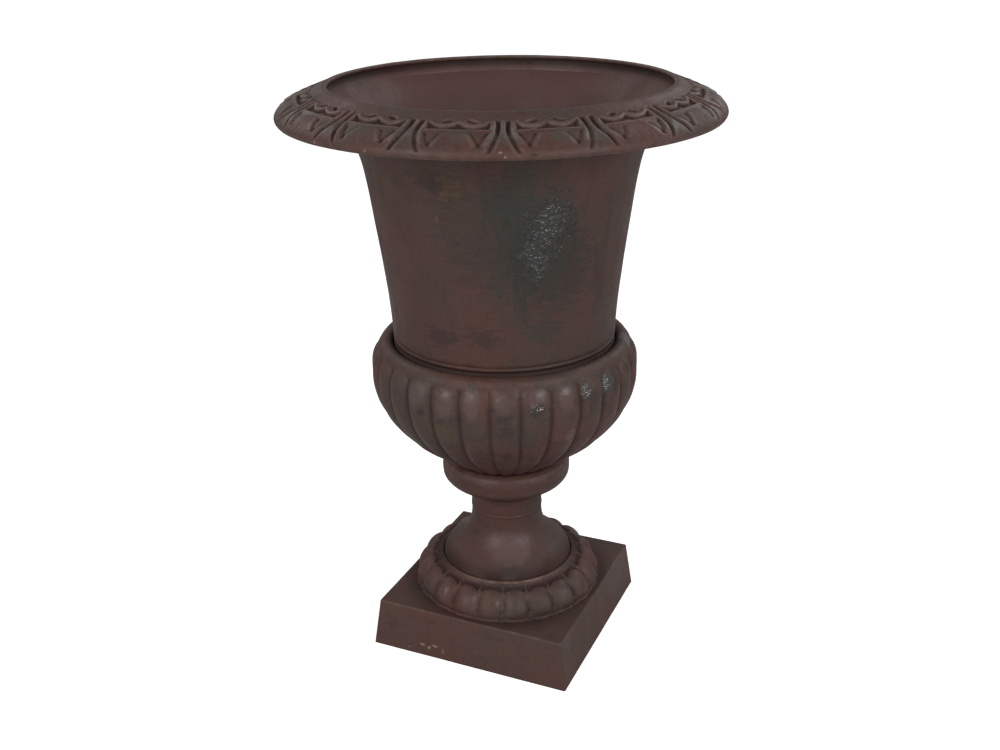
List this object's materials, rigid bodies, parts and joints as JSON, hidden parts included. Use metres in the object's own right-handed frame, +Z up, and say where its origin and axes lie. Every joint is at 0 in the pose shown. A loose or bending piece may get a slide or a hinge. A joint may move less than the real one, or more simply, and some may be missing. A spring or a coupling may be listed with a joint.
{
  "type": "garden urn",
  "caption": "Cast-iron campana urn with a leaf-and-dart rim, a flaring planting body, a gadrooned bowl, a bell foot on a lobed ring and a square plinth.",
  "frame": {"origin": "centre of the plinth's underside, on the ground", "axes": "+Z up along the urn's axis; the plinth's sides lie along X and Y"},
  "size_m": [0.4452, 0.4452, 0.62],
  "materials": {
    "casting": "rough rust-brown patina with a low sheen on the crowns",
    "steel": "dull, lightly rusted"
  },
  "bodies": {
    "root": {"square_plinth": "casting", "lobed_ring": "casting", "bell_foot": "casting", "knop_collar": "casting", "lobed_bowl": "casting", "campana_body": "casting", "rim_ring": "casting", "tie_rod": "steel", "top_washer": "steel", "top_nut": "steel", "bottom_washer": "steel", "bottom_nut": "steel", "lock_nut": "steel", "rim_screws": "steel", "rim_washers": "steel", "seat_screws": "steel", "seat_washers": "steel"}
  },
  "joints": []
}
